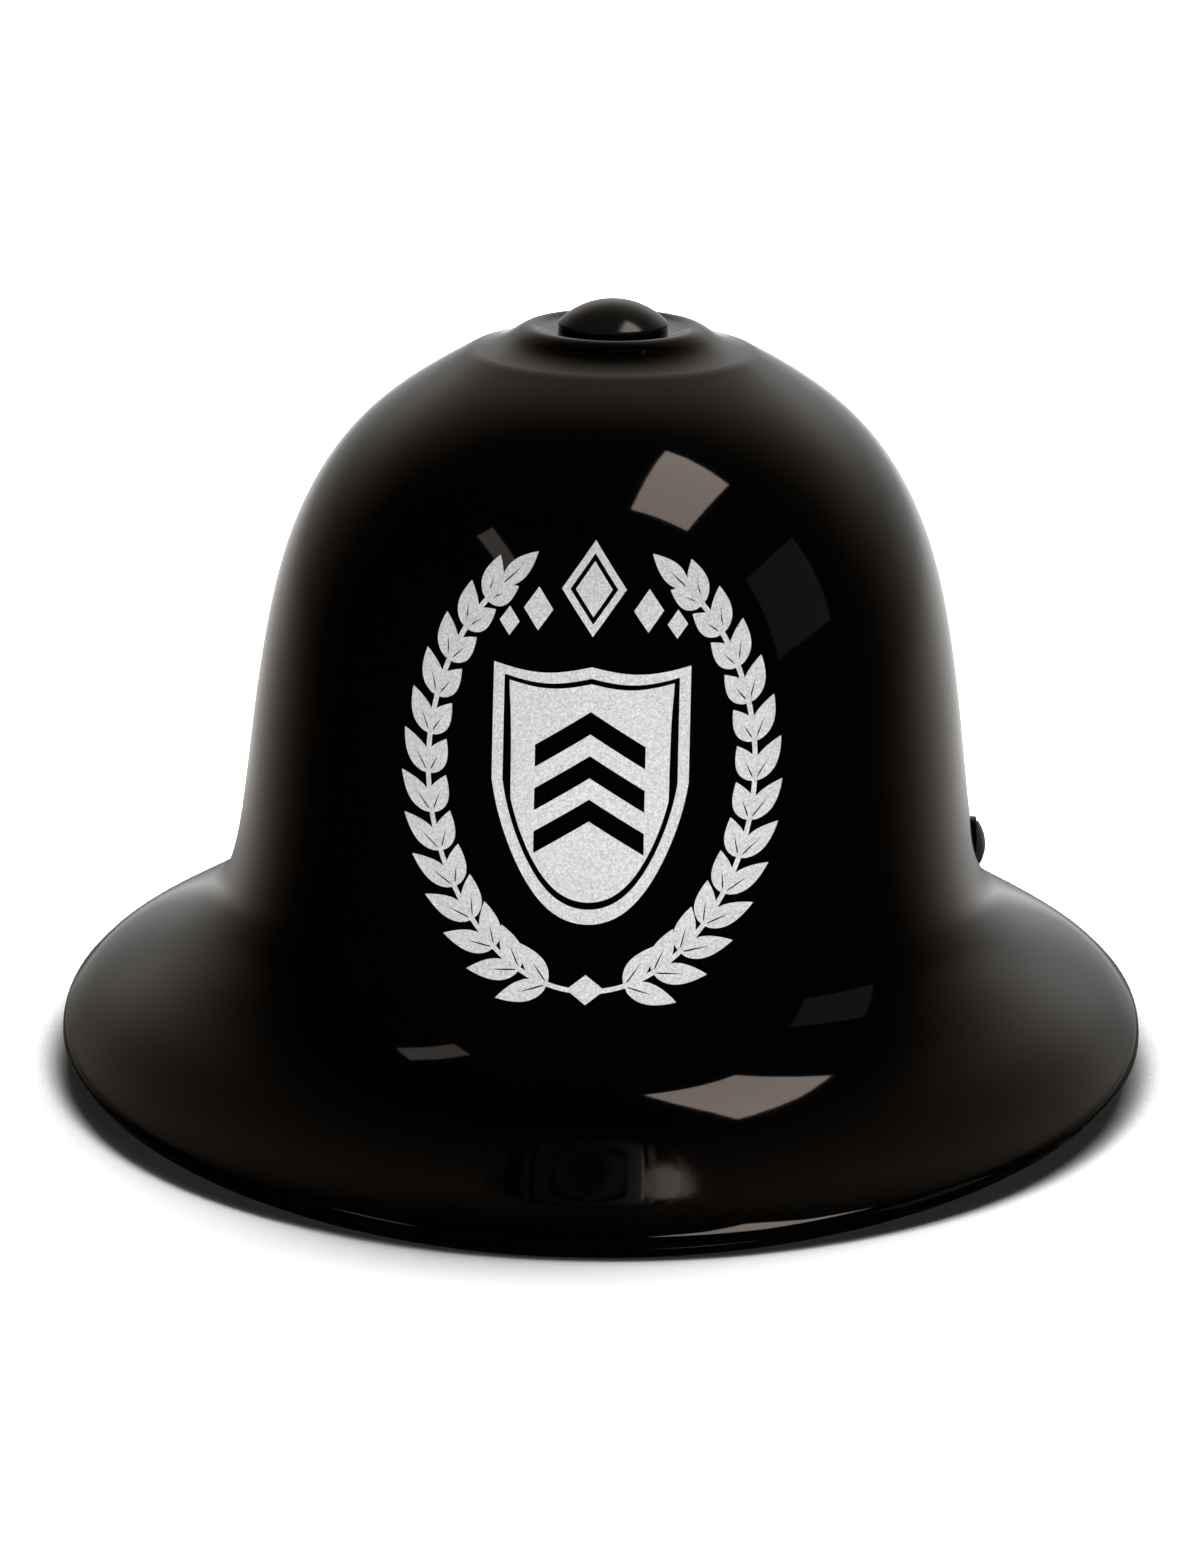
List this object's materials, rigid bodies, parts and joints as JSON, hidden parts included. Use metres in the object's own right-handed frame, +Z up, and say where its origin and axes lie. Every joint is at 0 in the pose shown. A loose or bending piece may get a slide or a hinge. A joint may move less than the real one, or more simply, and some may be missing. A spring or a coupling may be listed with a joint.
{
  "type": "custodian police helmet",
  "caption": "Tall glossy moulded helmet with an all-round flared brim, crown button, webbing harness, nape ratchet adjuster and swinging chin strap.",
  "frame": {"origin": "centre of the brim's outline, at the level of the lowest points of the brim's edge", "axes": "+Z up through the crown; +Y to the rear of the helmet, so the front faces -Y; +X to the wearer's left"},
  "size_m": [0.264, 0.3, 0.1851],
  "materials": {
    "shell_gloss": "high gloss black moulding",
    "button_gloss": "gloss black moulding",
    "rivet_black": "black lacquered steel",
    "bare_steel": "plated steel",
    "webbing": "woven polyester webbing",
    "lining": "brushed fabric over foam",
    "harness_plastic": "satin moulded polyethylene",
    "adjuster_plastic": "fine matt moulded nylon",
    "cup_rubber": "soft matt moulding"
  },
  "bodies": {
    "shell": {"shell": "shell_gloss", "top_button": "button_gloss", "button_retainer": "bare_steel", "left_rivet": "rivet_black", "right_rivet": "bare_steel", "left_rivet_washer": "bare_steel", "right_rivet_washer": "bare_steel", "headband": "harness_plastic", "brow_pad": "lining", "nape_pad": "lining", "front_left_hanger": "harness_plastic", "front_right_hanger": "harness_plastic", "rear_left_hanger": "harness_plastic", "rear_right_hanger": "harness_plastic", "crown_strap_upper": "webbing", "crown_strap_lower": "webbing", "crown_pad": "lining", "adjuster_housing": "adjuster_plastic", "adjuster_cover": "adjuster_plastic"},
    "chin_strap": {"chin_strap": "webbing", "chin_cup": "cup_rubber", "left_strap_tab": "harness_plastic", "right_strap_tab": "harness_plastic"},
    "slider": {"strap_slider": "adjuster_plastic"},
    "knob": {"adjuster_knob": "adjuster_plastic", "ratchet_pinion": "adjuster_plastic", "pawl_disc": "adjuster_plastic", "adjuster_screw": "bare_steel"},
    "left_rack": {"left_rack": "harness_plastic"},
    "right_rack": {"right_rack": "harness_plastic"}
  },
  "joints": [
    {"name": "chin_strap_swing", "type": "hinge", "parent": "shell", "child": "chin_strap", "pos_m": [0, 0.0226, 0.04757], "axis": [-1, 0, 0], "range_deg": [0, 95]},
    {"name": "strap_slider_slide", "type": "hinge", "parent": "chin_strap", "child": "slider", "pos_m": [-0.02473, 0.0226, 0.04757], "axis": [0, 0.3435, 0.9391], "range_deg": [0, 18]},
    {"name": "knob_turn", "type": "hinge", "parent": "shell", "child": "knob", "pos_m": [0, 0.02849, 0.03447], "axis": [0, 1, 0], "range_deg": [0, 170]},
    {"name": "left_rack_slide", "type": "hinge", "parent": "shell", "child": "left_rack", "pos_m": [0, 0.02849, 0.03447], "axis": [0, 0, 1], "range_deg": [0, 13.7]},
    {"name": "right_rack_slide", "type": "hinge", "parent": "shell", "child": "right_rack", "pos_m": [0, 0.02849, 0.03447], "axis": [0, 0, 1], "range_deg": [-13.4, 0]}
  ],
  "couplings": [
    {"joint": "left_rack_slide", "follows": "knob_turn", "ratio": 0.079994},
    {"joint": "right_rack_slide", "follows": "knob_turn", "ratio": -0.078221}
  ]
}
